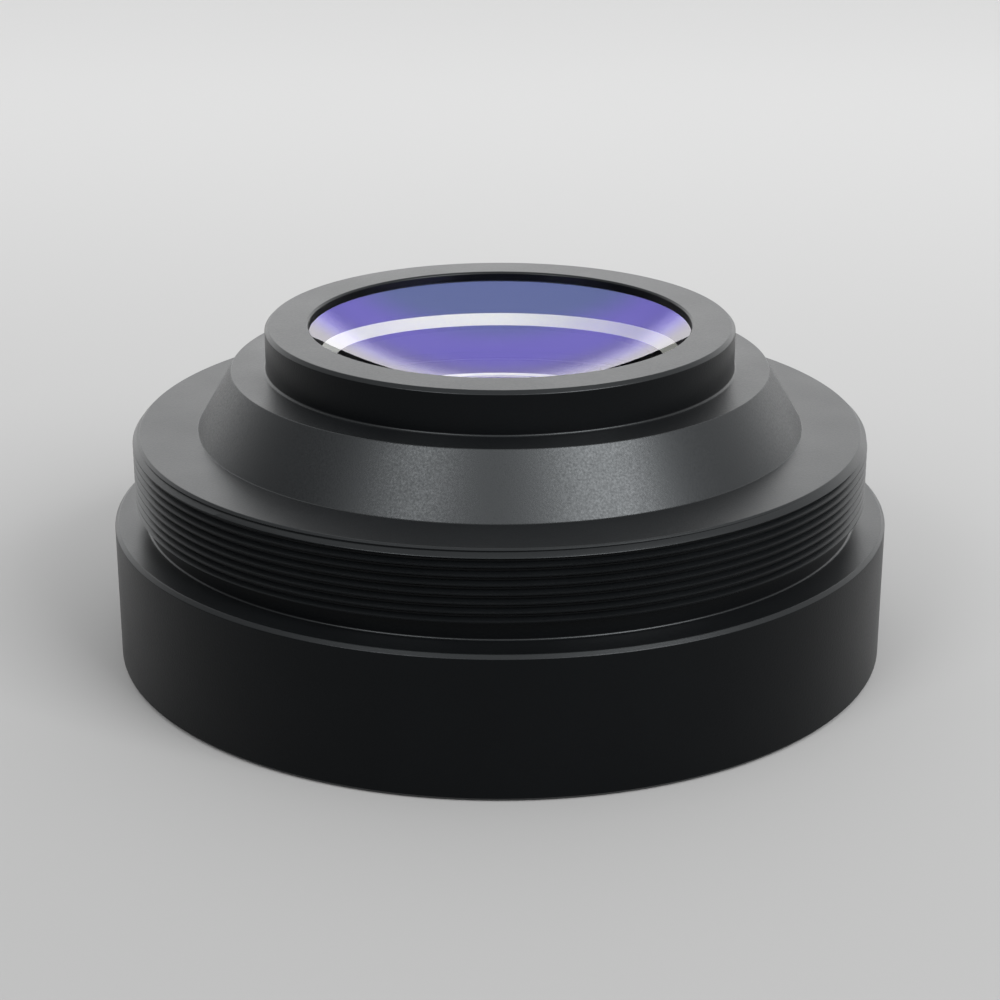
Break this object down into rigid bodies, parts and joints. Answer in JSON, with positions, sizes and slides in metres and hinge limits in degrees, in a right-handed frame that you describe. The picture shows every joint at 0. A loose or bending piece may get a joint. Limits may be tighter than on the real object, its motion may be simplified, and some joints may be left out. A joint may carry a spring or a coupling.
{
  "type": "f-theta scan lens",
  "caption": "Flat-field scan lens: coated glass elements in a stepped black barrel with a large external mounting thread and a cone-shaped nose, standing on its front rim.",
  "frame": {"origin": "centre of the front rim's flat face, which the lens stands on", "axes": "+Z along the optical axis, from the beam exit at the front rim to the beam entrance at the nose"},
  "size_m": [0.09, 0.09, 0.0385],
  "materials": {
    "anodised_barrel": "black anodised over a fine blasted surface",
    "front_ring": "black anodised, with bare metal where a spanner has marked a slot",
    "inner_rings": "black anodised, matte against stray light",
    "entrance_glass": "polished, violet antireflection coating",
    "middle_glass": "polished, cyan antireflection coating, ground rim",
    "exit_glass": "polished, blue to teal antireflection coatings"
  },
  "bodies": {
    "root": {"barrel": "anodised_barrel", "entrance_lens": "entrance_glass", "spacer_ring": "inner_rings", "middle_lens": "middle_glass", "inner_lock_ring": "inner_rings", "exit_lens": "exit_glass", "retaining_ring": "front_ring"}
  },
  "joints": []
}
